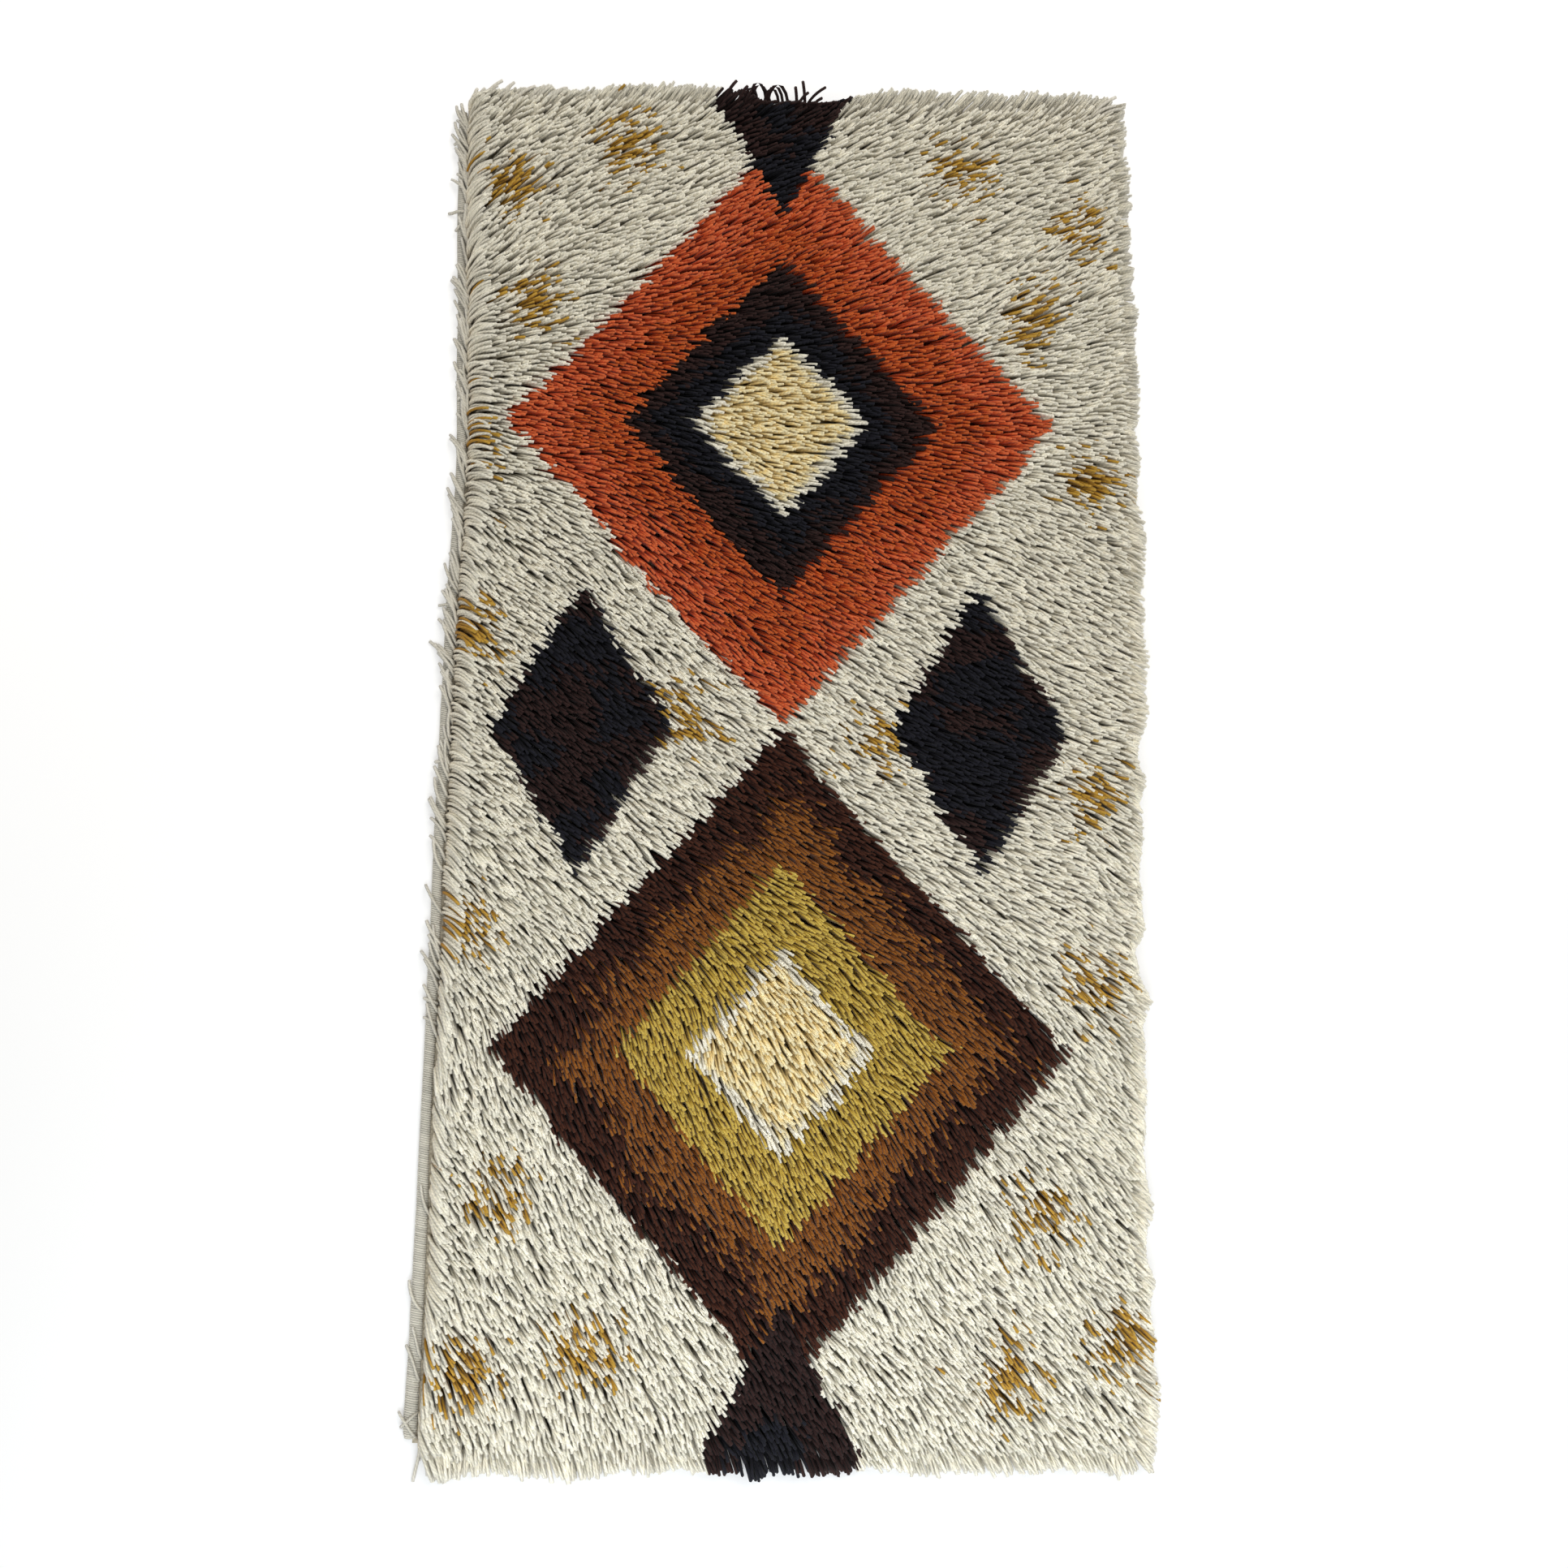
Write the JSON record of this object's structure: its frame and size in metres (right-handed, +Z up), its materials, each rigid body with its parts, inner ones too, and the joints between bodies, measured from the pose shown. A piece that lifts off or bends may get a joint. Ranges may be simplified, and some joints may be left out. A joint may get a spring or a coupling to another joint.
{
  "type": "shag rug",
  "caption": "Long pile wool rug lying flat, with a woven ground cloth, a deep leaning pile that hangs over three sides and a whipped edge along each long side.",
  "frame": {"origin": "middle of the ground cloth's flat underside, on the floor", "axes": "+Z up from the floor, +Y along the rug to its far end, +X to the side that the pile leans to"},
  "size_m": [0.7549, 1.4629, 0.0302],
  "materials": {
    "ground_cloth": "plain woven wool and linen ground",
    "pile_wool": "loose two-ply wool yarn, matt, cream with orange, olive, brown and near black areas",
    "whipping_wool": "fine wool yarn wound closely over the edge"
  },
  "bodies": {
    "root": {"ground_cloth": "ground_cloth", "shag_pile": "pile_wool", "whipped_edge_left": "whipping_wool", "whipped_edge_right": "whipping_wool"}
  },
  "joints": []
}
